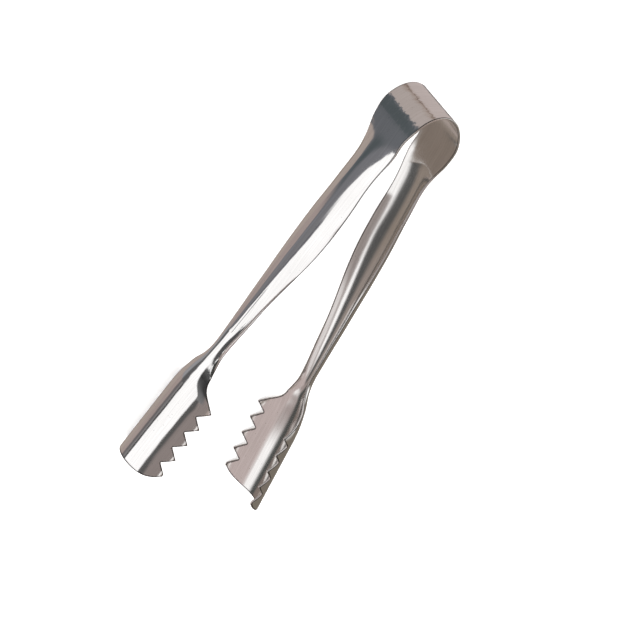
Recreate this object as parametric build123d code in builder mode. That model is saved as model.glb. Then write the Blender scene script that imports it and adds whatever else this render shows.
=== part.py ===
"""One-piece spring ice tongs, pressed and bent from a single strip of stainless steel.

The tongs lie on one side: X is the way the jaws open, Y runs from the jaws to the bow, and
Z is across the strip. The edges of the bow and of the jaws stand on Z = 0.

The strip is flat round the bow, curls into a channel along each arm, is narrowest at the
neck and opens into a half-round scoop with teeth on both edges. The flat bow is the spring,
and the stiff arms and jaws turn with its ends. The strip is divided into those five zones.
Everything is drawn for the right-hand half and mirrored for the left.
"""

import math
import os
from collections import namedtuple

from build123d import *

# Driving dimensions, mm
LENGTH = 180.0
SHEET = 0.9
BOW_WIDTH = 28.1
BOW_HALF_SPAN = 11.8
BOW_RISE = 17.2
BOW_PARALLEL = 8.5
SPRINGING_HALF_WIDTH = 12.6

JAW_RADIUS = 14.45
JAW_TILT = 6.33
JAW_BACK = 29.35
JAW_STRAIGHT_Y = -56.0
END_BULGE = 5.58
END_CORNER = 1.3

TOOTH_COUNT = 5
TOOTH_PITCH = 7.66
TOOTH_DEPTH = 4.2
TOOTH_ROUND = 0.3
FIRST_TIP = 2.1
FACE_ANGLE = 62.0
KNEE_X = 9.2
SHOULDER_ROUND = 7.4

# A station is a cut across the strip, square to its back: its place along Y, how far the
# back stands from the middle plane, the radius the sheet is curled to, and half the width
# of the sheet measured round the curl.
Station = namedtuple("Station", "y back radius half_blank")

CROWN_Y = LENGTH / 2
SPRINGING_Y = CROWN_Y - BOW_RISE
MID = BOW_WIDTH / 2
NEARLY_FLAT = 3000.0
WIDE = 19.6

ARM = [
    Station(SPRINGING_Y, BOW_HALF_SPAN, NEARLY_FLAT, SPRINGING_HALF_WIDTH),
    Station(67.5, 12.2, 60.0, 11.9),
    Station(61.0, 13.7, 19.5, 11.0),
    Station(51.0, 15.6, 14.2, 10.9),
    Station(41.0, 17.0, 13.0, 11.7),
    Station(31.0, 18.3, 12.8, 12.2),
    Station(21.5, 19.4, 11.7, 12.0),
    Station(12.0, 20.5, 9.9, 11.1),
    Station(2.0, 21.5, 7.9, 9.6),
    Station(-8.0, 22.4, 6.5, 8.2),
    Station(-18.0, 23.1, 5.4, 7.2),
    Station(-27.0, 23.8, 4.5, 6.3),
    Station(-33.0, 24.4, 4.1, 6.0),
    Station(-37.0, 25.1, 5.1, 6.5),
    Station(-40.0, 25.8, 7.5, 7.7),
    Station(-42.8, 26.7, 10.2, 9.2),
]
NECK_END = ARM[-1]
FLARE = [
    Station(NECK_END.y, NECK_END.back, NECK_END.radius, 15.0),
    Station(-45.5, 27.5, 11.2, WIDE),
    Station(-48.5, 28.2, 12.6, WIDE),
    Station(-52.0, 28.8, 13.8, WIDE),
]

# The back of the jaw is straight
TILT = math.radians(JAW_TILT)
JAW_AXIS = (math.sin(TILT), -math.cos(TILT))


def jaw_back_at(y):
    """How far the straight back of the jaw stands from the middle plane at a given Y."""
    return JAW_BACK + (JAW_STRAIGHT_Y - y) * math.tan(TILT)


STRAIGHT = [
    Station(y, jaw_back_at(y), JAW_RADIUS, WIDE)
    for y in (JAW_STRAIGHT_Y - 4.5 * step for step in range(10))
]
BACK = ARM + FLARE[1:] + STRAIGHT

with BuildLine() as back_line:
    Spline(*[(s.back, s.y) for s in BACK], tangents=[(0, -1), JAW_AXIS])


def cut_plane(station):
    """The plane across the strip at a station, with local X pointing out of the tongs."""
    line = back_line.edges()[0]
    along = line.tangent_at(line.param_at_point(Vector(station.back, station.y)))
    return Plane(
        origin=(station.back, station.y, MID),
        x_dir=(-along.Y, along.X, 0),
        z_dir=(along.X, along.Y, 0),
    )


def curled_section(station):
    """The sheet cut across at a station: part of a ring, the middle of its back at 0, 0."""
    half_angle = math.degrees(station.half_blank / station.radius)
    centre = (-station.radius, 0)
    with BuildSketch(cut_plane(station)) as section:
        with BuildLine():
            outer = CenterArc(centre, station.radius, -half_angle, 2 * half_angle)
            inner = CenterArc(centre, station.radius - SHEET, -half_angle, 2 * half_angle)
            Line(outer @ 0, inner @ 0)
            Line(outer @ 1, inner @ 1)
        make_face()
    return section.sketch


def curled_sheet(stations):
    """The sheet running smoothly through a row of stations."""
    sections = [curled_section(station) for station in stations]
    with BuildPart() as sheet:
        loft(sections)
    return sheet.part


def mirrored(shape, label):
    """The same piece on the left-hand side."""
    with BuildPart() as other:
        mirror(shape, about=Plane.YZ)
    other.part.label = label
    return other.part


# Bow: a flat band bent round half an ellipse, narrowing to where the arms begin
with BuildPart() as bow:
    with BuildSketch() as arch:
        with Locations((0, SPRINGING_Y)):
            Ellipse(BOW_HALF_SPAN, BOW_RISE)
            Ellipse(BOW_HALF_SPAN - SHEET, BOW_RISE - SHEET, mode=Mode.SUBTRACT)
        with Locations((0, SPRINGING_Y)):
            Rectangle(4 * BOW_HALF_SPAN, 2 * BOW_RISE, align=(Align.CENTER, Align.MAX), mode=Mode.SUBTRACT)
    extrude(amount=BOW_WIDTH)
    with BuildSketch(Plane.YZ) as side_trim:
        with BuildLine():
            parallel_end = (CROWN_Y - BOW_PARALLEL, 0)
            springing = (SPRINGING_Y, MID - SPRINGING_HALF_WIDTH)
            Spline(parallel_end, springing, tangents=[(-1, 0), (-1, 0.2)])
            Line(springing, (SPRINGING_Y - 5, springing[1] + 1))
            Line((SPRINGING_Y - 5, springing[1] + 1), (SPRINGING_Y - 5, -5))
            Line((SPRINGING_Y - 5, -5), (parallel_end[0], -5))
            Line((parallel_end[0], -5), parallel_end)
        make_face()
        mirror(about=Plane.XZ.offset(-MID))
    extrude(amount=2 * BOW_HALF_SPAN, both=True, mode=Mode.SUBTRACT)
bow.part.label = "bow_spring"

# Arm: the channel from the bow to the neck
right_arm = curled_sheet(ARM)
right_arm.label = "right_arm"
left_arm = mirrored(right_arm, "left_arm")

# The teeth are cut square to the sheet at FACE_ANGLE round the curl from the back. On this
# plane X runs from the jaw's end toward the bow and Y runs out to the tooth tips.
face_angle = math.radians(FACE_ANGLE)
tip_angle = math.asin(MID / JAW_RADIUS)
outward = Vector(math.cos(TILT), math.sin(TILT), 0)
jaw_axis = Vector(*JAW_AXIS, 0)
jaw_start = Vector(JAW_BACK, JAW_STRAIGHT_Y, MID)
face_depth = JAW_RADIUS * (1 - math.cos(face_angle))
face_height = JAW_RADIUS * math.sin(face_angle)
tooth_plane = Plane(
    origin=jaw_start - outward * face_depth + Vector(0, 0, face_height),
    x_dir=jaw_axis * -1,
    z_dir=outward * math.cos(face_angle) + Vector(0, 0, math.sin(face_angle)),
)

# Rounding a tip lowers it, so the sharp tip is drawn that much higher
half_pitch = TOOTH_PITCH / 2
half_point = math.atan(half_pitch / TOOTH_DEPTH)
tip_loss = TOOTH_ROUND * (1 / math.sin(half_point) - 1)
tip_y = JAW_RADIUS * math.sin(tip_angle - face_angle) + tip_loss
notch_y = tip_y - TOOTH_DEPTH - 2 * tip_loss
flank_slope = (tip_y - notch_y) / half_pitch
last_tip_x = FIRST_TIP - (TOOTH_COUNT - 1) * TOOTH_PITCH

# The end of the scoop is an arc in side view, through the last tips and END_BULGE past
# them at the back
tip_depth = JAW_RADIUS * (1 - math.cos(tip_angle))
end_radius = (tip_depth**2 + END_BULGE**2) / (2 * END_BULGE)
end_slope = tip_depth / math.sqrt(end_radius**2 - tip_depth**2)
end_centre = jaw_start + jaw_axis * (END_BULGE - last_tip_x - end_radius)

neck_angle = NECK_END.half_blank / NECK_END.radius
neck_edge = cut_plane(NECK_END).from_local_coords(
    Vector(
        -NECK_END.radius * (1 - math.cos(neck_angle)),
        NECK_END.radius * math.sin(neck_angle),
        0,
    )
)
neck_corner = tooth_plane.to_local_coords(neck_edge)
knee = (KNEE_X, tip_y - flank_slope * (KNEE_X - FIRST_TIP))
run_in = (2 * neck_corner.X - knee[0], 2 * neck_corner.Y - knee[1])
outline = [run_in, knee]
rounds = [SHOULDER_ROUND]
for tooth in range(TOOTH_COUNT):
    x = FIRST_TIP - tooth * TOOTH_PITCH
    outline.append((x, tip_y))
    rounds.append(TOOTH_ROUND)
    if tooth < TOOTH_COUNT - 1:
        outline.append((x - half_pitch, notch_y))
        rounds.append(TOOTH_ROUND)
rounds[-1] = END_CORNER
outline.append((last_tip_x - 4 * end_slope, tip_y - 4))

# Jaw: the flare and the scoop in one sheet, cut to its outline
with BuildPart() as jaw:
    add(curled_sheet(FLARE + STRAIGHT))
    with BuildSketch(tooth_plane) as beyond_teeth:
        with BuildLine():
            edge = FilletPolyline(*outline, radius=rounds)
            far_corner = (outline[-1][0], 20)
            near_corner = (outline[0][0], 20)
            Polyline(edge @ 1, far_corner, near_corner, edge @ 0)
        make_face()
    extrude(amount=-22, mode=Mode.SUBTRACT)
    extrude(beyond_teeth.sketch, amount=6, mode=Mode.SUBTRACT)
    mirror(about=Plane.XY.offset(MID), mode=Mode.INTERSECT)
    with BuildSketch(Plane(origin=end_centre, x_dir=jaw_axis, z_dir=(0, 0, 1))) as beyond_end:
        Rectangle(2 * end_radius, 4 * end_radius, align=(Align.MIN, Align.CENTER))
        Circle(end_radius, mode=Mode.SUBTRACT)
    extrude(amount=MID + 1, both=True, mode=Mode.SUBTRACT)
jaw.part.label = "right_jaw"
right_jaw = jaw.part
left_jaw = mirrored(right_jaw, "left_jaw")

os.makedirs("parts", exist_ok=True)
for piece in (bow.part, left_arm, right_arm, left_jaw, right_jaw):
    export_step(piece, f"parts/{piece.label}.step")
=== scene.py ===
"""Looks for the ice tongs: the same sheet as the CAD, with rolled edges, polish and satin."""

import math

import bpy
import numpy as np
from mathutils import Matrix, Vector, geometry


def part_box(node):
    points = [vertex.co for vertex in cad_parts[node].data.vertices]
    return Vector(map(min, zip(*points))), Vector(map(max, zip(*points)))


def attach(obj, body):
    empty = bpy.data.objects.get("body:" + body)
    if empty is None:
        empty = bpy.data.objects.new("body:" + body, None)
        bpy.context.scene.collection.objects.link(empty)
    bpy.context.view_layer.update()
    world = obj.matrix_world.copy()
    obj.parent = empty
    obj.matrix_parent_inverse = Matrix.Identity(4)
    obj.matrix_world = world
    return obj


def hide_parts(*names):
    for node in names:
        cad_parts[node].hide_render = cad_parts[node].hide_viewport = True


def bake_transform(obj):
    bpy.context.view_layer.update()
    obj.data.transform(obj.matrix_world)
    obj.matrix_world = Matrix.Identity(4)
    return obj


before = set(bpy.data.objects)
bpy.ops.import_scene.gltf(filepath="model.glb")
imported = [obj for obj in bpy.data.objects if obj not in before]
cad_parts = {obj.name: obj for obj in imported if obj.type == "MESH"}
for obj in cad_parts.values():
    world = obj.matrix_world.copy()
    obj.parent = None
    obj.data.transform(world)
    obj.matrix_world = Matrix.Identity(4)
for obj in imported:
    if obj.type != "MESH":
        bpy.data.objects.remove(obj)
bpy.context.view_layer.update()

# ---------------------------------------------------------------- dimensions, in mm
MM = 0.001
BOW_LOW, BOW_HIGH = (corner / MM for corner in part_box("bow_spring"))
WIDTH = BOW_HIGH.z - BOW_LOW.z
MID = (BOW_HIGH.z + BOW_LOW.z) / 2
CROWN_Y = BOW_HIGH.y
SPRINGING_Y = BOW_LOW.y
HALF_SPAN = BOW_HIGH.x
RISE = CROWN_Y - SPRINGING_Y
SEAM_Y = (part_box("right_jaw")[1] / MM).y  # where the arm meets the jaw
SHEET = 0.9
ROLL = 0.25  # radius of the softened edges
SPRINGING_HALF = 12.6
SPRINGING_TAPER = 0.13
NEARLY_FLAT = 3000.0

# Cuts across the strip: Y, distance of the back from the middle, curl radius and, for the
# arm, half the width of the sheet. The jaw's width comes from its outline.
ARM = [
    (SPRINGING_Y, HALF_SPAN, NEARLY_FLAT, SPRINGING_HALF),
    (67.5, 12.2, 60.0, 11.9),
    (61.0, 13.7, 19.5, 11.0),
    (51.0, 15.6, 14.2, 10.9),
    (41.0, 17.0, 13.0, 11.7),
    (31.0, 18.3, 12.8, 12.2),
    (21.5, 19.4, 11.7, 12.0),
    (12.0, 20.5, 9.9, 11.1),
    (2.0, 21.5, 7.9, 9.6),
    (-8.0, 22.4, 6.5, 8.2),
    (-18.0, 23.1, 5.4, 7.2),
    (-27.0, 23.8, 4.5, 6.3),
    (-33.0, 24.4, 4.1, 6.0),
    (-37.0, 25.1, 5.1, 6.5),
    (-40.0, 25.8, 7.5, 7.7),
    (-42.8, 26.7, 10.2, 9.2),
]
FLARE = [
    (-45.5, 27.5, 11.2),
    (-48.5, 28.2, 12.6),
    (-52.0, 28.8, 13.8),
]
JAW_RADIUS = 14.45
JAW_TILT = math.radians(6.33)
JAW_BACK = 29.35
JAW_START_Y = -56.0
TOOTH_COUNT = 5
TOOTH_PITCH = 7.66
TOOTH_DEPTH = 4.2
TOOTH_ROUND = 0.3
FIRST_TIP = 2.1
FACE_ANGLE = math.radians(62.0)
KNEE_X = 9.2
SHOULDER_ROUND = 7.4
END_BULGE = 5.58
END_CORNER = 1.3
BOW_PARALLEL = 8.5
BOW_TRIM = (76.5, 13.35)  # a place between the springing and the parallel part
STRAIGHT_STEP = 4.5
STRAIGHT_CUTS = 10
CURL_END = JAW_START_Y - 36.0  # where the grid of the jaw's face stops
TINY = 1e-3  # for measuring slopes


# ---------------------------------------------------------------- the sheet's surface
class Curve:
    """A smooth cubic through the given points, with stated slopes at its ends."""

    def __init__(self, xs, ys, first=None, last=None):
        order = np.argsort(xs)
        self.x = np.array(xs, float)[order]
        self.y = np.array(ys, float)[order]
        h = np.diff(self.x)
        slope = np.diff(self.y) / h
        n = len(self.x)
        a = np.zeros((n, n))
        b = np.zeros(n)
        for i in range(1, n - 1):
            a[i, i - 1 : i + 2] = (h[i], 2 * (h[i - 1] + h[i]), h[i - 1])
            b[i] = 3 * (h[i] * slope[i - 1] + h[i - 1] * slope[i])
        a[0, 0] = a[-1, -1] = 1
        b[0] = slope[0] if first is None else first
        b[-1] = slope[-1] if last is None else last
        self.d = np.linalg.solve(a, b)

    def __call__(self, at):
        at = np.asarray(at, float)
        i = np.clip(np.searchsorted(self.x, at) - 1, 0, len(self.x) - 2)
        h = self.x[i + 1] - self.x[i]
        t = (at - self.x[i]) / h
        y0, y1 = self.y[i], self.y[i + 1]
        d0, d1 = self.d[i] * h, self.d[i + 1] * h
        return (
            y0 * (1 + 2 * t) * (1 - t) ** 2
            + d0 * t * (1 - t) ** 2
            + y1 * t * t * (3 - 2 * t)
            - d1 * t * t * (1 - t)
        )


straight = [
    (JAW_START_Y - run, JAW_BACK + run * math.tan(JAW_TILT), JAW_RADIUS)
    for run in (STRAIGHT_STEP * k for k in range(STRAIGHT_CUTS))
]
STATIONS = ARM + FLARE + straight
ys = [s[0] for s in STATIONS]
BACK = Curve(ys, [s[1] for s in STATIONS], first=-math.tan(JAW_TILT), last=0.0)
CURL = Curve(ys, [1 / s[2] for s in STATIONS], first=0.0, last=0.0)
HALF = Curve([s[0] for s in ARM], [s[3] for s in ARM], last=SPRINGING_TAPER)
BOW_HALF = Curve(
    [SPRINGING_Y, BOW_TRIM[0], CROWN_Y - BOW_PARALLEL],
    [SPRINGING_HALF, BOW_TRIM[1], WIDTH / 2],
    first=SPRINGING_TAPER,
    last=0.0,
)


def strip_point(y, s, deep):
    """A point of the right-hand arm or jaw: y places the cut across the strip, s runs round
    the curl from the middle of the back, deep runs from the outer face into the sheet."""
    y, s, deep = np.broadcast_arrays(np.asarray(y, float), s, deep)
    slope = (BACK(y + TINY) - BACK(y - TINY)) / (2 * TINY)
    size = np.hypot(slope, 1)
    nx, ny = 1 / size, -slope / size
    curl = CURL(y)
    angle = s * curl
    height = (1 / curl - deep) * np.sin(angle)
    inward = 1 / curl - (1 / curl - deep) * np.cos(angle)
    return np.stack([BACK(y) - nx * inward, y - ny * inward, MID + height], -1)


def bow_point(a, s, deep):
    """A point of the bow's right half: a runs from 0 at the crown to 1 where the arm begins."""
    a, s, deep = np.broadcast_arrays(np.asarray(a, float), s, deep)
    angle = a * math.pi / 2
    x, y = HALF_SPAN * np.sin(angle), SPRINGING_Y + RISE * np.cos(angle)
    nx, ny = np.sin(angle) / HALF_SPAN, np.cos(angle) / RISE
    size = np.hypot(nx, ny)
    return np.stack([x - nx / size * deep, y - ny / size * deep, MID + s], -1)


def bow_half(a):
    """Half the width of the bow."""
    y = SPRINGING_Y + RISE * np.cos(np.asarray(a, float) * math.pi / 2)
    return np.where(y > CROWN_Y - BOW_PARALLEL, WIDTH / 2, BOW_HALF(y))


# ---------------------------------------------------------------- section of the strip
FACE_STEPS = 56
ROLL_STEPS = 5
# One edge as (inset from the rim, depth into the sheet), from the outer face to the inner
roll = [math.pi / 2 * (k + 0.5) / ROLL_STEPS for k in range(ROLL_STEPS)]
EDGE = [(ROLL * (1 - math.sin(t)), ROLL * (1 - math.cos(t))) for t in roll]
EDGE += [(0.0, SHEET / 2)]
EDGE += [(inset, SHEET - deep) for inset, deep in reversed(EDGE[:-1])]
# How strongly the painted shade line (a dark edge reflection) shows at each of those places
EDGE_LINE = [1.0, 1.0, 0.7, 0.3, 0.1, 0.0, 0.1, 0.3, 0.7, 1.0, 1.0]


def section_loop(half):
    """(s, deep) round the strip's section: outer face, one edge, inner face, other edge."""
    flat = half - ROLL
    face = np.linspace(-flat, flat, FACE_STEPS + 1)
    loop = [(s, 0.0) for s in face]
    loop += [(half - inset, deep) for inset, deep in EDGE]
    loop += [(s, SHEET) for s in face[::-1]]
    loop += [(inset - half, deep) for inset, deep in reversed(EDGE)]
    return np.array(loop)


# The material after each point of the loop
ON_OUTER, ON_INNER, ON_EDGE = 0, 1, 2
LOOP = len(section_loop(SPRINGING_HALF))
INNER_START = FACE_STEPS + 1 + len(EDGE)
ZONE = np.full(LOOP, ON_EDGE)
ZONE[:FACE_STEPS] = ON_OUTER
ZONE[INNER_START : INNER_START + FACE_STEPS] = ON_INNER
# The painted shade line at each point of the loop, strongest where a face meets an edge
FACE_LINE = [1.0] + [0.0] * (FACE_STEPS - 1) + [1.0]
LINE = np.array(FACE_LINE + EDGE_LINE + FACE_LINE + EDGE_LINE)


def unit(v):
    shortest = 1e-12
    return v / np.maximum(np.linalg.norm(v, axis=-1, keepdims=True), shortest)


def tube(point, half, stations, lengths):
    """A length of strip as rings of the section. Like every mesh here it is given as points,
    normals, faces, zones and, for each point, its place on the sheet with its painted edge
    shade."""
    pts, nrm, place = [], [], []
    for v, along in zip(stations, lengths):
        loop = section_loop(float(half(v)))
        ahead = point(v + TINY, *section_loop(float(half(v + TINY))).T)
        behind = point(v - TINY, *section_loop(float(half(v - TINY))).T)
        ring = point(v, *loop.T)
        round_ = np.roll(ring, -1, 0) - np.roll(ring, 1, 0)
        pts.append(ring)
        nrm.append(unit(np.cross(round_, ahead - behind)))
        place.append(np.stack([loop[:, 0], np.full(LOOP, along), LINE], -1))
    faces, zones = [], []
    for row in range(len(stations) - 1):
        for k in range(LOOP):
            a, b = row * LOOP + k, row * LOOP + (k + 1) % LOOP
            faces.append((a, b, b + LOOP, a + LOOP))
            zones.append(int(ZONE[k]))
    return np.concatenate(pts), np.concatenate(nrm), faces, zones, np.concatenate(place)


# ---------------------------------------------------------------- outline of the jaw
# How finely the outline is drawn: lengths in mm, and numbers of steps
LONGEST_RUN = 0.4
BROAD_ROUND = 5.0
BROAD_STEPS = 16
SMALL_STEPS = 8
RUN_OUT = 4.0
END_STEPS = 60
SOLVE_ROUNDS = 12
NUDGE = 1e-4


def corner_arc(before, at, after, radius, steps):
    """Points of the round that replaces a corner of a polyline."""
    before, at, after = (np.array(p, float) for p in (before, at, after))
    a, b = unit(before - at), unit(after - at)
    half_corner = math.acos(float(np.clip(a @ b, -1, 1))) / 2
    centre = at + unit(a + b) * radius / math.sin(half_corner)
    reach = radius / math.tan(half_corner)
    first, last = at + a * reach - centre, at + b * reach - centre
    sweep = math.atan2(first[0] * last[1] - first[1] * last[0], first @ last)
    turns = np.linspace(0, sweep, steps + 1)[:, None]
    side = np.array([-first[1], first[0]])
    return centre + np.cos(turns) * first + np.sin(turns) * side


def divided(points, longest):
    """The polyline with its long runs divided."""
    result = [points[0]]
    for a, b in zip(points[:-1], points[1:]):
        count = max(1, math.ceil(float(np.linalg.norm(b - a)) / longest))
        result += [a + (b - a) * (k + 1) / count for k in range(count)]
    return np.array(result)


def jaw_outline():
    """One edge of the jaw as (y, s) on the sheet, from the seam with the arm round to the
    middle of the scoop's end."""
    tip_angle = math.asin(WIDTH / 2 / JAW_RADIUS)
    half_pitch = TOOTH_PITCH / 2
    tip_loss = TOOTH_ROUND * (1 / math.sin(math.atan(half_pitch / TOOTH_DEPTH)) - 1)
    tip = JAW_RADIUS * math.sin(tip_angle - FACE_ANGLE) + tip_loss
    notch = tip - TOOTH_DEPTH - 2 * tip_loss
    last_x = FIRST_TIP - (TOOTH_COUNT - 1) * TOOTH_PITCH
    depth = JAW_RADIUS * (1 - math.cos(tip_angle))
    end_radius = (depth**2 + END_BULGE**2) / (2 * END_BULGE)
    end_slope = depth / math.sqrt(end_radius**2 - depth**2)

    along = np.array([-math.sin(JAW_TILT), math.cos(JAW_TILT), 0])
    outward = np.array([math.cos(JAW_TILT), math.sin(JAW_TILT), 0])
    across = np.array([0, 0, 1])
    face = strip_point(JAW_START_Y, JAW_RADIUS * FACE_ANGLE, 0.0)
    rise = across * math.cos(FACE_ANGLE) - outward * math.sin(FACE_ANGLE)

    def in_face(place):
        from_face = strip_point(place[:, 0], place[:, 1], 0.0) - face
        return np.stack([from_face @ along, from_face @ rise], -1)

    seam = np.array([[SEAM_Y, float(HALF(SEAM_Y))]])
    corner = in_face(seam)[0]
    knee = (KNEE_X, tip - (tip - notch) / half_pitch * (KNEE_X - FIRST_TIP))
    points, rounds = [corner, knee], [SHOULDER_ROUND]
    for tooth in range(TOOTH_COUNT):
        x = FIRST_TIP - tooth * TOOTH_PITCH
        points.append((x, tip))
        rounds.append(TOOTH_ROUND)
        if tooth < TOOTH_COUNT - 1:
            points.append((x - half_pitch, notch))
            rounds.append(TOOTH_ROUND)
    rounds[-1] = END_CORNER
    points.append((last_x - RUN_OUT * end_slope, tip - RUN_OUT))
    path = [np.array([corner])]
    for k, radius in enumerate(rounds):
        steps = BROAD_STEPS if radius > BROAD_ROUND else SMALL_STEPS
        path.append(corner_arc(points[k], points[k + 1], points[k + 2], radius, steps))
    target = divided(np.concatenate(path), LONGEST_RUN)

    # From the flat drawing of the teeth to places on the curled sheet
    place = np.stack(
        [
            JAW_START_Y + target[:, 0] * math.cos(JAW_TILT),
            JAW_RADIUS * (FACE_ANGLE + np.arcsin(np.clip(target[:, 1] / JAW_RADIUS, -1, 1))),
        ],
        -1,
    )
    step_y, step_s = (NUDGE, 0), (0, NUDGE)
    for _ in range(SOLVE_ROUNDS):
        miss = target - in_face(place)
        dy = (in_face(place + step_y) - in_face(place - step_y)) / (2 * NUDGE)
        ds = (in_face(place + step_s) - in_face(place - step_s)) / (2 * NUDGE)
        det = dy[:, 0] * ds[:, 1] - dy[:, 1] * ds[:, 0]
        place[:, 0] += (miss[:, 0] * ds[:, 1] - miss[:, 1] * ds[:, 0]) / det
        place[:, 1] += (dy[:, 0] * miss[:, 1] - dy[:, 1] * miss[:, 0]) / det
    place[0] = seam[0]

    # The scoop's end is an arc in side view
    s = np.linspace(place[-1, 1], 0.0, END_STEPS)[1:]
    inward = JAW_RADIUS * (1 - np.cos(s / JAW_RADIUS))
    t = END_BULGE - last_x - end_radius + np.sqrt(end_radius**2 - inward**2)
    end = np.stack([JAW_START_Y - t * math.cos(JAW_TILT), s], -1)
    return np.concatenate([place, end])


def outward_turns(line):
    """The way out of the sheet at each point of one edge: first stretched at the corners, so
    that an inset line stays parallel, then of unit length."""
    sharpest = 0.5
    step = unit(np.diff(line, axis=0))
    out = np.stack([step[:, 1], -step[:, 0]], -1)
    out *= np.sign(out[0, 1])
    first, last = np.array([[0.0, 1.0]]), np.array([[-1.0, 0.0]])
    mean = unit(out[:-1] + out[1:])
    stretch = 1 / np.maximum((mean * out[1:]).sum(-1, keepdims=True), sharpest)
    return np.concatenate([first, mean * stretch, last]), np.concatenate([first, mean, last])


def face_normal(place):
    """Outward unit normals of the sheet's outer face."""
    y, s = np.asarray(place).T
    down = strip_point(y - TINY, s, 0.0) - strip_point(y + TINY, s, 0.0)
    round_ = strip_point(y, s + TINY, 0.0) - strip_point(y, s - TINY, 0.0)
    return unit(np.cross(round_, down))


# The grid inside the jaw's face, in mm
GRID_STEP = 0.6
GRID_REACH = 19.2
GRID_INSET = 0.5
CLEARANCE = 0.3
SAME_PLACE = 1e-7


def jaw_mesh():
    """The right jaw."""
    edge = jaw_outline()
    reach, out = outward_turns(edge)
    mirror = np.array([1.0, -1.0])
    edge = np.concatenate([edge, edge[-2::-1] * mirror])
    reach = np.concatenate([reach, reach[-2::-1] * mirror])
    out = np.concatenate([out, out[-2::-1] * mirror])
    inset = edge - reach * ROLL
    n = len(edge)

    # Face: the inset outline and a grid inside it
    seam = np.linspace(inset[-1], inset[0], FACE_STEPS + 1)[1:-1]
    ring = np.concatenate([inset, seam])
    grid = []
    for y in np.arange(SEAM_Y - GRID_INSET, CURL_END, -GRID_STEP):
        for s in np.arange(-GRID_REACH, GRID_REACH + 0.1, GRID_STEP):
            grid.append((y, s))
    grid = np.array(grid)

    # Only the grid's points that lie inside the outline and clear of it are kept
    a, b = ring, np.roll(ring, -1, 0)
    run = b - a
    t = ((grid[:, None] - a) * run).sum(-1) / (run**2).sum(-1)
    near = a + np.clip(t, 0, 1)[..., None] * run
    clear = np.linalg.norm(grid[:, None] - near, axis=-1).min(1) > CLEARANCE
    crossing = (a[:, 1] > grid[:, None, 1]) != (b[:, 1] > grid[:, None, 1])
    with np.errstate(divide="ignore", invalid="ignore"):
        cut = a[:, 0] + (grid[:, None, 1] - a[:, 1]) / run[:, 1] * run[:, 0]
    inside = (crossing & (grid[:, None, 0] < cut)).sum(1) % 2 == 1
    flat = np.concatenate([ring, grid[clear & inside]])
    outline = list(range(len(ring)))
    made = geometry.delaunay_2d_cdt([Vector(p) for p in flat], [], [outline], 1, SAME_PLACE)
    order = {i: k for k, members in enumerate(made[3]) for i in members}
    back = {k: i for i, k in order.items()}
    triangles = [tuple(back[k] for k in f) for f in made[2]]

    # Both faces, then the rolled edge between them, column by column
    m = len(flat)
    columns = [(ROLL, 0.0)] + EDGE + [(ROLL, SHEET)]
    points = [strip_point(*flat.T, 0.0), strip_point(*flat.T, SHEET)]
    normal = face_normal(flat)
    normals = [normal, -normal]
    on_edge = (np.arange(m) < n).astype(float)[:, None]
    place = [np.hstack([flat[:, ::-1], on_edge])] * 2
    y, s = edge.T
    down = (strip_point(y + TINY, s, 0.0) - strip_point(y - TINY, s, 0.0)) / (2 * TINY)
    side = (strip_point(y, s + TINY, 0.0) - strip_point(y, s - TINY, 0.0)) / (2 * TINY)
    sheet_out = unit(down * out[:, :1] + side * out[:, 1:])
    sheet_up = face_normal(edge)
    rims = []
    for k, (back_off, deep) in enumerate(columns):
        if k in (0, len(columns) - 1):
            rims.append(list(range(n)) if k == 0 else list(range(m, m + n)))
            continue
        at = edge - reach * back_off
        rims.append(list(range(2 * m + (k - 1) * n, 2 * m + k * n)))
        points.append(strip_point(*at.T, deep))
        tilt = math.asin(1 - back_off / ROLL) if back_off < ROLL else 0.0
        up = math.cos(tilt) * (1 if deep < SHEET / 2 else -1)
        normals.append(unit(sheet_out * math.sin(tilt) + sheet_up * up))
        place.append(np.column_stack([at[:, ::-1], np.full(n, EDGE_LINE[k - 1])]))
    faces, zones = [], []
    for tri in triangles:
        p = flat[list(tri)]
        area = np.cross(p[1] - p[0], p[2] - p[0])
        tri = tri if area > 0 else tri[::-1]
        faces += [tri, tuple(i + m for i in tri[::-1])]
        zones += [ON_OUTER, ON_INNER]
    for k in range(len(columns) - 1):
        for i in range(n - 1):
            faces.append((rims[k][i], rims[k + 1][i], rims[k + 1][i + 1], rims[k][i + 1]))
            zones.append(ON_EDGE)
    return np.concatenate(points), np.concatenate(normals), faces, zones, np.concatenate(place)


def cap(point, half, v, turned):
    """The sheet's cut end at one place along the strip, turned to face along it or back."""
    loop = section_loop(float(half(v)))
    pts = point(v, *loop.T)
    first, last = INNER_START, INNER_START + FACE_STEPS
    faces = [(k, k + 1, last - k - 1, last - k) for k in range(FACE_STEPS)]
    faces.append(tuple(range(FACE_STEPS, first + 1)))
    faces.append(tuple(range(last, LOOP)) + (0,))
    along = unit(point(v + TINY, 0.0, 0.0) - point(v - TINY, 0.0, 0.0))
    nrm = np.tile(along if turned else -along, (LOOP, 1))
    faces = [f[::-1] if turned else f for f in faces]
    zones = [ON_EDGE] * len(faces)
    return pts, nrm, faces, zones, np.column_stack([loop, np.zeros(LOOP)])


def joined(*parts):
    """Several meshes as one."""
    pts, nrm, faces, zones, place = [], [], [], [], []
    count = 0
    for p, n, f, z, w in parts:
        faces += [tuple(i + count for i in face) for face in f]
        count += len(p)
        pts.append(p)
        nrm.append(n)
        zones += z
        place.append(w)
    return np.concatenate(pts), np.concatenate(nrm), faces, zones, np.concatenate(place)


# ---------------------------------------------------------------- materials
def node(tree, kind, **values):
    """A new shader node; values are its inputs or, failing that, its settings."""
    made = tree.nodes.new(kind)
    for name, value in values.items():
        if name in made.inputs:
            made.inputs[name].default_value = value
        else:
            setattr(made, name, value)
    return made


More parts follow.
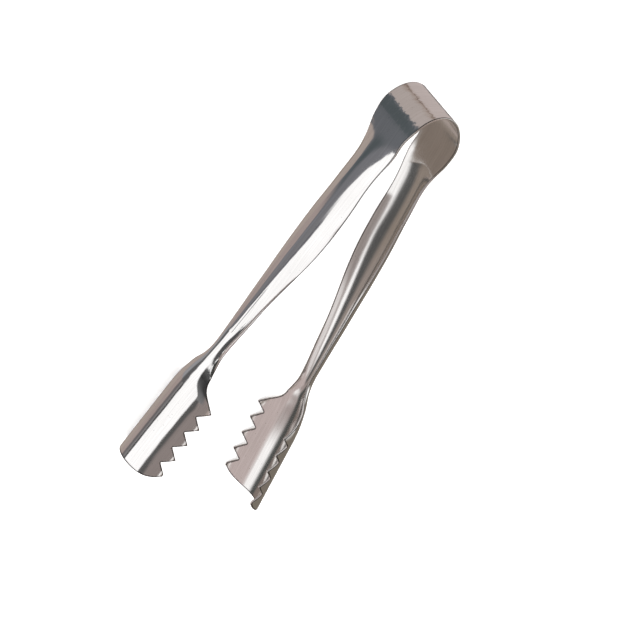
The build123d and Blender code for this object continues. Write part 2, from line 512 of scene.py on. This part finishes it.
def ramp(tree, source, stops):
    """A colour ramp through stops of (place, colour)."""
    made = tree.nodes.new("ShaderNodeValToRGB")
    tree.links.new(source, made.inputs[0])
    elements = made.color_ramp.elements
    while len(elements) < len(stops):
        elements.new(0.5)
    for element, (at, colour) in zip(elements, stops):
        element.position = at
        element.color = (*colour, 1.0)
    return made.outputs[0]


def noise(tree, source, scale, detail, rough=0.55):
    """Cloud noise; scale is how fast it changes per mm round and along the sheet."""
    mapping = tree.nodes.new("ShaderNodeMapping")
    tree.links.new(source, mapping.inputs["Vector"])
    mapping.inputs["Scale"].default_value = scale
    made = node(tree, "ShaderNodeTexNoise", Scale=1.0, Detail=detail, Roughness=rough)
    tree.links.new(mapping.outputs["Vector"], made.inputs["Vector"])
    return made.outputs["Fac"]


def math_node(tree, operation, a, b):
    """One sum on two values, each a socket or a number."""
    made = tree.nodes.new("ShaderNodeMath")
    made.operation = operation
    for socket, value in zip(made.inputs, (a, b)):
        if isinstance(value, (int, float)):
            socket.default_value = value
        else:
            tree.links.new(value, socket)
    return made.outputs[0]


# The sockets of a Mix node that is set to colours
MIX_SHARE, MIX_FIRST, MIX_SECOND = 0, 6, 7
MIX_RESULT = 2


def colour_mix(tree, share, first, second):
    """From the first colour to the second; each is a socket or three numbers."""
    made = tree.nodes.new("ShaderNodeMix")
    made.data_type = "RGBA"
    tree.links.new(share, made.inputs[MIX_SHARE])
    for place, colour in ((MIX_FIRST, first), (MIX_SECOND, second)):
        if isinstance(colour, tuple):
            made.inputs[place].default_value = (*colour, 1.0)
        else:
            tree.links.new(colour, made.inputs[place])
    return made.outputs[MIX_RESULT]


def grey(value):
    return (value, value, value)


SPECK_SHADE = 0.45
# The dark tone of the painted shade along the rolled edges
EDGE_SHADE_STEEL = (0.13, 0.125, 0.125)
BOW_WAVE = 5.5


def steel(name, rough, tints, brushed, wave):
    """Bare stainless steel; the sheet's own coordinates run (round, along) in mm. rough and
    tints are ranges, and brushed and wave are heights in mm."""
    material = bpy.data.materials.new(name)
    material.use_nodes = True
    tree = material.node_tree
    shader = tree.nodes["Principled BSDF"]
    shader.inputs["Metallic"].default_value = 1.0

    def total(a, b):
        return math_node(tree, "ADD", a, b)

    def times(a, b):
        return math_node(tree, "MULTIPLY", a, b)

    sheet = node(tree, "ShaderNodeAttribute", attribute_name="sheet_mm").outputs["Vector"]
    cloud = noise(tree, sheet, (0.05, 0.03, 1.0), 4.0)
    lines = noise(tree, sheet, (7.0, 0.12, 1.0), 5.0, 0.65)
    fine = noise(tree, sheet, (26.0, 0.9, 1.0), 4.0, 0.7)
    streak = noise(tree, sheet, (1.3, 0.035, 1.0), 3.0, 0.6)
    slow = noise(tree, sheet, (0.22, 0.07, 1.0), 2.0)
    swell = noise(tree, sheet, (0.2, 0.16, 1.0), 2.0, 0.5)
    grain = noise(tree, sheet, (0.75, 0.45, 1.0), 2.0, 0.5)

    # Colour: cloudy and streaked, with a few dark specks, and painted shade (a dark edge
    # reflection) along the cut edges
    pits = node(tree, "ShaderNodeTexVoronoi", Scale=0.42)
    tree.links.new(sheet, pits.inputs["Vector"])
    speck = ramp(tree, pits.outputs["Distance"], [(0.035, grey(1.0)), (0.07, grey(0.0))])
    tone = times(total(cloud, streak), 0.5)
    tint = ramp(tree, tone, [(0.38, tints[0]), (0.62, tints[1])])
    specked = colour_mix(tree, speck, tint, tuple(c * SPECK_SHADE for c in tints[0]))
    # Painted shade: the rolled edges darken toward a dark steel tone, standing in for their
    # dark reflection
    line = node(tree, "ShaderNodeAttribute", attribute_name="edge_line").outputs["Fac"]
    edge_shade = times(line, total(0.55, streak))
    edge_shade = ramp(tree, edge_shade, [(0.3, grey(0.0)), (0.9, grey(1.0))])
    tree.links.new(colour_mix(tree, edge_shade, specked, EDGE_SHADE_STEEL), shader.inputs["Base Color"])

    # Roughness follows the brushing and the cloudy tone
    share = total(times(lines, 0.6), times(cloud, 0.4))
    share = ramp(tree, share, [(0.3, grey(rough[0])), (0.7, grey(rough[1]))])
    tree.links.new(share, shader.inputs["Roughness"])

    # Height: brushing, a slow wave, and a stronger ripple where the sheet bends round the bow
    height = total(times(lines, brushed), times(fine, brushed * 0.35))
    height = total(height, times(slow, wave))
    on_bow = node(tree, "ShaderNodeAttribute", attribute_name="on_bow").outputs["Fac"]
    ripple = times(total(swell, times(grain, 0.22)), on_bow)
    height = total(height, times(ripple, wave * BOW_WAVE))
    bump = node(tree, "ShaderNodeBump", Strength=1.0, Distance=MM)
    tree.links.new(height, bump.inputs["Height"])
    tree.links.new(bump.outputs["Normal"], shader.inputs["Normal"])
    return material


OUTER = steel(
    "steel_polished",
    rough=(0.06, 0.13),
    tints=((0.83, 0.812, 0.795), (0.92, 0.905, 0.89)),
    brushed=0.0026,
    wave=0.05,
)
INNER = steel(
    "steel_satin",
    rough=(0.1, 0.18),
    tints=((0.78, 0.755, 0.735), (0.89, 0.87, 0.85)),
    brushed=0.004,
    wave=0.012,
)
RIM = steel(
    "steel_edge",
    rough=(0.2, 0.32),
    tints=((0.78, 0.765, 0.75), (0.84, 0.825, 0.81)),
    brushed=0.004,
    wave=0.0,
)


# ---------------------------------------------------------------- pieces
BOW_RINGS = 81
ARM_RINGS = 260
# Places along the sheet, for the grain of the steel: the crown, the length of half a bow,
# and a shift that keeps the left side from repeating the right
CROWN_GRAIN = CROWN_Y + 4
BOW_GRAIN = 22.0
LEFT_GRAIN = 400.0
BOW_FADE = 4.0


def piece(name, mesh_data, left):
    """A named object of sheet on the right, or mirrored to the left."""
    pts, nrm, faces, zones, place = mesh_data
    side = np.array([-1.0, 1.0, 1.0]) if left else np.ones(3)
    faces = [f[::-1] if left else f for f in faces]
    mesh = bpy.data.meshes.new(name)
    mesh.from_pydata((pts * side * MM).tolist(), [], faces)
    for material in (OUTER, INNER, RIM):
        mesh.materials.append(material)
    mesh.polygons.foreach_set("material_index", zones)
    mesh.polygons.foreach_set("use_smooth", [True] * len(faces))
    along = place[:, 1] + (LEFT_GRAIN if left else 0.0)
    where = mesh.attributes.new("sheet_mm", "FLOAT_VECTOR", "POINT")
    sheet = np.column_stack([place[:, 0], along, np.zeros(len(place))])
    where.data.foreach_set("vector", sheet.ravel())
    line = mesh.attributes.new("edge_line", "FLOAT", "POINT")
    line.data.foreach_set("value", place[:, 2])
    bow = mesh.attributes.new("on_bow", "FLOAT", "POINT")
    bow.data.foreach_set("value", np.clip((pts[:, 1] - SPRINGING_Y) / BOW_FADE, 0, 1))
    mesh.update()
    mesh.normals_split_custom_set_from_vertices((nrm * side).tolist())
    obj = bpy.data.objects.new(name, mesh)
    bpy.context.scene.collection.objects.link(obj)
    return obj


def arm_point(v, s, deep):
    return strip_point(-v, s, deep)


def arm_half(v):
    return HALF(-v)


bow_places = np.linspace(0.0, 1.0, BOW_RINGS)
arm_places = np.linspace(-SPRINGING_Y, -SEAM_Y, ARM_RINGS)
bow_data = joined(
    tube(bow_point, bow_half, bow_places, CROWN_GRAIN - bow_places * BOW_GRAIN),
    cap(bow_point, bow_half, 0.0, False),
    cap(bow_point, bow_half, 1.0, True),
)
arm_data = joined(
    tube(arm_point, arm_half, arm_places, -arm_places),
    cap(arm_point, arm_half, arm_places[0], False),
    cap(arm_point, arm_half, arm_places[-1], True),
)
jaw_data = joined(jaw_mesh(), cap(arm_point, arm_half, -SEAM_Y, False))

for side, left in (("right", False), ("left", True)):
    body = f"{side}_side"
    half_bow = piece(f"bow_{side}_half", bow_data, left)
    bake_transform(half_bow)
    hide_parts("bow_spring")
    for part, data in (("arm", arm_data), ("jaw", jaw_data)):
        obj = piece(f"{side}_{part}_sheet", data, left)
        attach(obj, body)
        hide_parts(f"{side}_{part}")


# ---------------------------------------------------------------- floor
FLOOR_REACH = 6.0
FLOOR_GAP = 0.0002


def floor():
    """A pale floor just under the tongs, which reflections pass by."""
    far = FLOOR_REACH
    corners = [(-far, -far, 0), (far, -far, 0), (far, far, 0), (-far, far, 0)]
    mesh = bpy.data.meshes.new("floor")
    mesh.from_pydata(corners, [], [(0, 1, 2, 3)])
    material = bpy.data.materials.new("floor_white")
    material.use_nodes = True
    shader = material.node_tree.nodes["Principled BSDF"]
    shader.inputs["Base Color"].default_value = (0.93, 0.93, 0.93, 1.0)
    shader.inputs["Roughness"].default_value = 0.9
    shader.inputs["Specular IOR Level"].default_value = 0.0
    shader.inputs["Emission Color"].default_value = (1.0, 1.0, 1.0, 1.0)
    shader.inputs["Emission Strength"].default_value = 0.35
    mesh.materials.append(material)
    obj = bpy.data.objects.new("floor", mesh)
    bpy.context.scene.collection.objects.link(obj)
    obj.location.z = BOW_LOW.z * MM - FLOOR_GAP
    obj.visible_glossy = False


# ---------------------------------------------------------------- what the metal reflects
# Tones of the surroundings, where 1 is the picture's white
WHITE = (1.12, 1.12, 1.13)
BEIGE = (0.38, 0.315, 0.3)
SLATE = (0.193, 0.193, 0.207)
DUSTY = (0.275, 0.237, 0.227)
CROWN = (0.235, 0.195, 0.167)
ROOM = (0.41, 0.35, 0.32)


def studio():
    """The far surroundings: a warm grey room with a large white panel on the left, a smaller
    one on the right, dark between them, and dusky patches below. Directions are in degrees:
    azimuth from +Y toward +X, elevation up from level."""
    world = bpy.data.worlds.new("studio")
    bpy.context.scene.world = world
    world.use_nodes = True
    tree = world.node_tree
    background = tree.nodes["Background"]

    def calc(operation, a, b):
        return math_node(tree, operation, a, b)

    direction = tree.nodes.new("ShaderNodeTexCoord").outputs["Generated"]
    parts = tree.nodes.new("ShaderNodeSeparateXYZ")
    tree.links.new(direction, parts.inputs[0])
    degrees = 180 / math.pi
    azimuth = calc("MULTIPLY", calc("ARCTAN2", parts.outputs["X"], parts.outputs["Y"]), degrees)
    elevation = calc("MULTIPLY", calc("ARCSINE", parts.outputs["Z"], 0.0), degrees)

    def past(value, at, soft):
        """From 0 to 1 as the value passes a place."""
        made = tree.nodes.new("ShaderNodeMapRange")
        made.interpolation_type = "SMOOTHSTEP"
        tree.links.new(value, made.inputs["Value"])
        made.inputs["From Min"].default_value = at - soft
        made.inputs["From Max"].default_value = at + soft
        return made.outputs["Result"]

    def short_of(value, at, soft):
        return calc("SUBTRACT", 1.0, past(value, at, soft))

    def between(value, low, high, soft):
        return calc("MULTIPLY", past(value, low, soft), short_of(value, high, soft))

    def window(az, el, soft):
        across = between(azimuth, *az, soft[0])
        return calc("MULTIPLY", across, between(elevation, *el, soft[1]))

    def paint(under, mask, tone):
        return colour_mix(tree, mask, under, tone)

    # Low down: warm patches, and a dark band that reaches lower toward the bow
    below = (-62, -20)
    left_warm = window(az=(-71, -14), el=below, soft=(1, 5))
    right_warm = window(az=(-14, 110), el=below, soft=(8, 5))
    tilt = calc("ADD", elevation, calc("MAXIMUM", calc("ADD", azimuth, 98.0), 0.0))
    band = past(tilt, -60, 2.5)
    dark = calc("MULTIPLY", between(azimuth, -150, -70, 1.0), band)
    dark = calc("MULTIPLY", dark, short_of(elevation, -5, 3))
    near_bow = calc("MULTIPLY", short_of(elevation, -42, 6), between(azimuth, -150, -66, 1.0))
    near_bow = calc("MULTIPLY", near_bow, band)
    darkest = calc("MULTIPLY", window(az=(-98, -68), el=(-60, -44), soft=(10, 5)), dark)
    colour = paint(ROOM, left_warm, (0.455, 0.4, 0.38))
    colour = paint(colour, right_warm, (0.53, 0.46, 0.445))
    colour = paint(colour, dark, (0.185, 0.188, 0.205))
    colour = paint(colour, near_bow, (0.135, 0.143, 0.158))
    colour = paint(colour, darkest, (0.085, 0.1, 0.108))
    bluish = window(az=(-120, -98), el=(-32, -10), soft=(4, 8))
    colour = paint(colour, bluish, (0.235, 0.235, 0.265))

    # The brown line across the crown, with a softer shade beside it
    shade = window(az=(-24, -12), el=below, soft=(10, 5))
    colour = paint(colour, shade, (0.36, 0.29, 0.255))
    line = window(az=(-16.5, -12.8), el=below, soft=(1.0, 5))
    colour = paint(colour, line, (0.2, 0.15, 0.125))

    # The dark gap, the brown wall on the right and the white panel on it
    gap = window(az=(-78, -20), el=(-4, 74), soft=(2, 5))
    colour = paint(colour, gap, (0.05, 0.051, 0.05))
    wall = window(az=(60, 175), el=(-45, 62), soft=(6, 5))
    colour = paint(colour, wall, (0.2, 0.175, 0.145))
    right_panel = window(az=(35, 97), el=(0, 66), soft=(5, 3))
    colour = paint(colour, right_panel, (1.08, 1.08, 1.08))

    # The left panel, whose lower edge hangs lower at its far end
    drop = calc("MULTIPLY", calc("MINIMUM", calc("ADD", azimuth, 91.0), 0.0), 1.3)
    slant = calc("MULTIPLY", calc("MINIMUM", calc("ADD", azimuth, 102.5), 0.0), 0.8)
    slant = calc("ADD", calc("MAXIMUM", slant, -12.0), calc("MAXIMUM", drop, -15.0))
    lower = past(calc("SUBTRACT", elevation, slant), -10.5, 1.5)
    panel = calc("MULTIPLY", between(azimuth, -168, -77, 2), lower)
    panel = calc("MULTIPLY", panel, short_of(elevation, 76, 2))
    colour = paint(colour, panel, WHITE)

    # High up at that panel's far end, high up at its near end, and low down on the right
    far_end = window(az=(-200, -164), el=(50, 76), soft=(3, 3))
    colour = paint(colour, far_end, (0.95, 0.93, 0.92))
    dusky_top = window(az=(-108, -60), el=(50, 90), soft=(3, 3))
    colour = paint(colour, dusky_top, DUSTY)
    dark_corner = window(az=(82, 140), el=(-62, -42), soft=(10, 5))
    colour = paint(colour, dark_corner, (0.06, 0.055, 0.05))
    tree.links.new(colour, background.inputs["Color"])
    background.inputs["Strength"].default_value = 1.0


def painted_card(name, x, ys, zs, tone):
    """An upright card that only reflections see; tone gives its colour and cover at (y, z)."""
    y, z = np.meshgrid(ys, zs, indexing="ij")
    points = np.stack([np.full(y.size, x), y.ravel(), z.ravel()], -1) * MM
    rows, columns = len(ys), len(zs)
    faces = []
    for i in range(rows - 1):
        for j in range(columns - 1):
            a, b = i * columns + j, (i + 1) * columns + j
            faces.append((a, b, b + 1, a + 1))
    mesh = bpy.data.meshes.new(name)
    mesh.from_pydata(points.tolist(), [], faces)
    tones = mesh.attributes.new("tone", "FLOAT_COLOR", "POINT")
    tones.data.foreach_set("color", tone(y.ravel(), z.ravel()).ravel())
    material = bpy.data.materials.new(name)
    material.use_nodes = True
    tree = material.node_tree
    tree.nodes.clear()
    painted = node(tree, "ShaderNodeAttribute", attribute_name="tone")
    glow = node(tree, "ShaderNodeEmission", Strength=1.0)
    tree.links.new(painted.outputs["Color"], glow.inputs["Color"])
    clear = tree.nodes.new("ShaderNodeBsdfTransparent")
    cover = tree.nodes.new("ShaderNodeMixShader")
    tree.links.new(painted.outputs["Alpha"], cover.inputs[0])
    tree.links.new(clear.outputs[0], cover.inputs[1])
    tree.links.new(glow.outputs[0], cover.inputs[2])
    out = tree.nodes.new("ShaderNodeOutputMaterial")
    tree.links.new(cover.outputs[0], out.inputs["Surface"])
    mesh.materials.append(material)
    obj = bpy.data.objects.new(name, mesh)
    bpy.context.scene.collection.objects.link(obj)
    obj.visible_camera = False
    obj.visible_diffuse = False
    obj.visible_shadow = False


def smooth(value, low, high):
    """From 0 to 1 as the value goes from low to high, as a column."""
    t = np.clip((value - low) / (high - low), 0, 1)
    return (t * t * (3 - 2 * t))[:, None]


def blended(first, second, share):
    return np.array(first) * (1 - share) + np.array(second) * share


def through(points, y):
    """The value at y of a line drawn through (y, value) points."""
    return np.interp(y, *zip(*points))


# Each card's boundaries are heights in mm at places along Y
LEFT_LOW = [
    (-100, -2), (-90, -2.5), (-62, -2.2), (-55, -1.7), (-46, -3.8), (-38, -4), (-34, -2.5),
    (-31, 6.5), (-28, 10.5), (-22, 12.5), (-15, 16), (-5, 17.5), (15, 17), (25, 15.5),
    (35, 13.5), (45, 11), (56, 9), (58, 6), (60, 0),
]
LEFT_FOOT = [
    (-42, -26), (-38, -18), (-34, -14), (-28, -11), (-15, -9), (-5, -13), (5, -17), (15, -20),
    (40, -30),
]
LEFT_HIGH = [
    (-100, 38.5), (-90, 37), (-80, 37.5), (-70, 39.5), (-62, 41), (-58, 42.5), (-54, 45.5),
    (-51, 46), (-48, 40), (-44, 27), (-40, 21.5), (-36, 20),
]
LEFT_DUSK_END = [
    (-100, 50), (-90, 45), (-80, 47), (-70, 51), (-62, 57), (-58, 57), (-54, 56), (-51, 56),
    (-48, 60), (-44, 64), (-40, 70), (-36, 70),
]
LEFT_TOP = [(-68, 460), (-64, 84), (-56, 84), (-52, 66)]


def left_tone(y, z):
    """Left of the tongs: a white strip on a warm card, dark above it and below it. The card
    is open where the world shows instead."""
    low = through(LEFT_LOW, y)
    foot = through(LEFT_FOOT, y)
    high = through(LEFT_HIGH, y)
    end = through(LEFT_DUSK_END, y)
    top = through(LEFT_TOP, y)

    jaw = blended(BEIGE, (0.15, 0.14, 0.145), smooth(z, -34, -24))
    jaw = blended(jaw, (0.215, 0.208, 0.212), smooth(z, -18, -14))
    tone = blended(BEIGE, SLATE, smooth(z, foot - 4, foot + 4))
    tone = blended(tone, jaw, smooth(-y, 40, 46))
    thin = blended((0.12, 0.12, 0.135), (0.035, 0.035, 0.038), smooth(-y, 10, 40))
    tone = blended(tone, thin, smooth(z, low - 6.5, low - 4))
    tone = blended(tone, WHITE, smooth(z, low - 1, low + 1))
    dusk = blended((0.1, 0.098, 0.098), (0.035, 0.037, 0.034), smooth(y, -54, -46))
    tone = blended(tone, dusk, smooth(z, high - 0.5, high + 2.5))
    tone = blended(tone, DUSTY, smooth(z, end, end + 14))

    under = 1 - smooth(z, low + 0.5, low + 1.5)
    border = np.maximum(smooth(-y, 24, 34), smooth(z, -10, -6) * smooth(-y, -44, -24))
    beneath = smooth(foot + 5 - z, 0, 5) * smooth(-y, -42, -22)
    above = smooth(-y, 37, 39) * (1 - smooth(z, top - 2, top + 2))
    above = np.maximum(above, smooth(-y, 9, 13) * (1 - smooth(z, 22, 26)))
    cover = np.maximum(above, np.maximum(beneath, border * under))
    return np.concatenate([tone, cover], -1)


NECK_LOW = [
    (-53, 12), (-49, 11.8), (-47.5, 10.8), (-43.5, 10.6), (-42, 9.6), (-40.5, 9.2),
    (-38.5, 8.6), (-36.5, 9.6), (-34, 10.2), (-32, 11), (-28, 11.6),
]
NECK_DARK = [
    (-53, 30.6), (-51, 30.4), (-49, 27), (-47.5, 23.7), (-46, 21.4), (-44.5, 20.3), (-43, 19.3),
    (-41.5, 19.1), (-37.5, 19.2), (-36.5, 20.5), (-35.5, 22), (-34.5, 24.5), (-32.5, 27.5),
    (-31, 30), (-28, 36),
]
NECK_DARK_TOP = [(-32, 70), (-30, 36.5), (-28, 39)]
NECK_SHADE = [
    (-53, 0.2), (-51, 0.18), (-47, 0.14), (-44.5, 0.076), (-43, 0.04), (-40, 0.06),
    (-38, 0.087),
]
NECK_TINT = (1, 1, 1.03)


def neck_tone(y, z):
    """Close to the left neck: white, with a dark patch above it that runs out to a line."""
    low = through(NECK_LOW, y)
    dark = through(NECK_DARK, y)
    dark_top = through(NECK_DARK_TOP, y)
    shade = through(NECK_SHADE, y)[:, None] * NECK_TINT
    tone = blended((0.31, 0.31, 0.33), (0.115, 0.115, 0.12), smooth(z, 1, 5))
    tone = blended(tone, WHITE, smooth(z, low - 0.8, low + 0.8))
    tone = blended(tone, shade, smooth(z, dark - 0.6, dark + 0.8))
    tone = blended(tone, DUSTY, smooth(z, 42, 58) * smooth(-y, 41, 46))
    tone = blended(tone, WHITE, smooth(z, dark_top - 0.5, dark_top + 1))
    return np.concatenate([tone, np.ones((len(z), 1))], -1)


SPRINGING_LINE = [
    (60, 5.05), (61, 4.75), (61.7, 4.45), (62.5, 4.05), (63.5, 3.55), (64.5, 3.05), (65.5, 2.6),
    (66.5, 1.9), (67.5, 1.3), (68.5, 0.4), (70, -1), (72, -3),
]


def springing_tone(y, z):
    """Beside the right springing: the white strip thins out against the crown."""
    line = through(SPRINGING_LINE, y)
    strip = blended(WHITE, (0.31, 0.28, 0.26), smooth(y, 65.5, 71))
    tone = blended((0.3, 0.27, 0.25), strip, smooth(z, line - 1.3, line - 0.5))
    tone = blended(tone, CROWN, smooth(z, line + 0.4, line + 0.8))
    return np.concatenate([tone, np.ones((len(z), 1))], -1)


MIDDLE_LOW = [
    (-60, 18), (-45, 17), (-33, 15), (-25, 16.1), (-17, 17), (-9, 16.9), (0, 15.4), (8, 13.6),
    (16.5, 12.3), (24.5, 11.2), (32.5, 9.9), (40, 8.7), (46.5, 7.4), (51, 6.2), (54.4, 4.8),
    (58.6, 2.4), (60.8, 0.6), (63, -1), (65, 8),
]
MIDDLE_HIGH = [
    (-60, 22), (-45, 23), (-33, 24), (-25, 26.5), (-17, 27.5), (-9, 26.5), (0, 22), (8, 17.4),
    (16.5, 14.7), (24.5, 12.8), (32.5, 11.8), (40, 10.6), (46.5, 40), (51, 60), (54.4, 60),
    (58.6, 60), (60.8, 20), (63, 4), (65, 8),
]
MIDDLE_SOFTNESS = [(-40, 2.6), (-10, 2.2), (10, 1.0)]
MIDDLE_VALLEY = [
    (-41, 25), (-33, 25.5), (-25, 29.5), (-17, 31), (-9, 30), (0, 27), (8, 20.5), (16, 18.5),
]
MIDDLE_GLOW_END = [(-35, -20), (-25, -20), (-17, -45), (-12, -60)]


def middle_tone(y, z):
    """Between the arms: one narrow white strip on a warm card, broader beside the jaws."""
    low = through(MIDDLE_LOW, y)
    high = through(MIDDLE_HIGH, y)
    soft = through(MIDDLE_SOFTNESS, y)
    valley = through(MIDDLE_VALLEY, y)
    end = through(MIDDLE_GLOW_END, y)

    warm = blended((0.295, 0.25, 0.215), (0.33, 0.285, 0.26), smooth(-y, -25, 0))
    crown = blended(CROWN, (0.385, 0.305, 0.27), smooth(y, 66, 90))
    warm = blended(warm, crown, smooth(y, 40, 66))
    side = blended((0.32, 0.285, 0.275), (0.48, 0.44, 0.43), smooth(-y, -8, 12))
    pale = blended((0.36, 0.32, 0.31), (0.8, 0.77, 0.77), smooth(-y, -10, 8))
    strip = blended((0.45, 0.42, 0.41), WHITE, smooth(y, -46, -28))
    glow = smooth(-y, 9, 15) * smooth(-z, 3, 11) * smooth(z, end - 12, end + 4)
    arm = blended(warm, (0.72, 0.68, 0.67), glow)
    arm = blended(arm, (0.1, 0.1, 0.1), smooth(z, low - 15, low - 6))
    arm = blended(arm, strip, smooth(z, low - soft, low + soft))
    arm = blended(arm, side, smooth(z, high - soft, high + soft))
    arm = blended(arm, pale, smooth(z, valley + 2, valley + 9))
    arm = blended(arm, crown, smooth(y, 60.5, 62))

    jaw = blended((0.24, 0.2, 0.18), (0.08, 0.083, 0.08), smooth(z, -26, -16))
    light = blended((0.4, 0.34, 0.33), WHITE, smooth(-y, 69, 87))
    jaw = blended(jaw, light, smooth(z, -8, 1))
    jaw = blended(jaw, (0.57, 0.485, 0.475), smooth(z, 9, 16))
    tone = blended(arm, jaw, smooth(-y, 52, 60))
    return np.concatenate([tone, smooth(-y, -90, -87)], -1)


def cards():
    """Two tall cards, left of the tongs and between the arms, and two small ones close by."""
    tall = np.concatenate([np.arange(-90, 70, 0.5), np.arange(70, 440, 8.0)])
    painted_card("card_left", -60, np.linspace(-190, 56, 165), tall, left_tone)
    painted_card("card_middle", 0, np.linspace(-200, 90, 233), tall, middle_tone)
    neck_y, neck_z = np.linspace(-53, -28, 101), np.arange(-12, 60, 0.5)
    painted_card("card_neck", -36, neck_y, neck_z, neck_tone)
    bow_y, bow_z = np.linspace(60, 72, 61), np.arange(-10, 16, 0.2)
    painted_card("card_springing", 7, bow_y, bow_z, springing_tone)


# ---------------------------------------------------------------- light and camera
SUN_SPREAD = math.radians(120)


def soft_sun(name, direction, strength):
    """A sun wide enough to leave only a faint, soft shadow; reflections don't see it."""
    data = bpy.data.lights.new(name, "SUN")
    data.energy = strength
    data.angle = SUN_SPREAD
    obj = bpy.data.objects.new(name, data)
    bpy.context.scene.collection.objects.link(obj)
    obj.rotation_euler = Vector(direction).to_track_quat("-Z", "Y").to_euler()
    obj.visible_glossy = False


CAMERA_PLACE = (-0.66510, 0.34092, 0.88319)
CAMERA_RIGHT = Vector((0.7615203, 0.5236847, 0.3818916))
CAMERA_DOWN = Vector((0.2783878, -0.7963706, 0.5369301))
CAMERA_FORWARD = Vector((0.5853093, -0.3025693, -0.7522399))


def camera():
    """A long lens, high on the left and a little toward the bow."""
    data = bpy.data.cameras.new("camera")
    data.sensor_width = 36.0
    data.lens = 168.75
    data.clip_start, data.clip_end = 0.05, 30.0
    obj = bpy.data.objects.new("camera", data)
    bpy.context.scene.collection.objects.link(obj)
    turn = Matrix((CAMERA_RIGHT, -CAMERA_DOWN, -CAMERA_FORWARD)).transposed().to_4x4()
    obj.matrix_world = Matrix.Translation(CAMERA_PLACE) @ turn
    bpy.context.scene.camera = obj


floor()
studio()
cards()
soft_sun("key", (0.25, -0.15, -1.0), 3.0)
camera()
bpy.context.scene.view_settings.view_transform = "Standard"

bpy.context.view_layer.update()
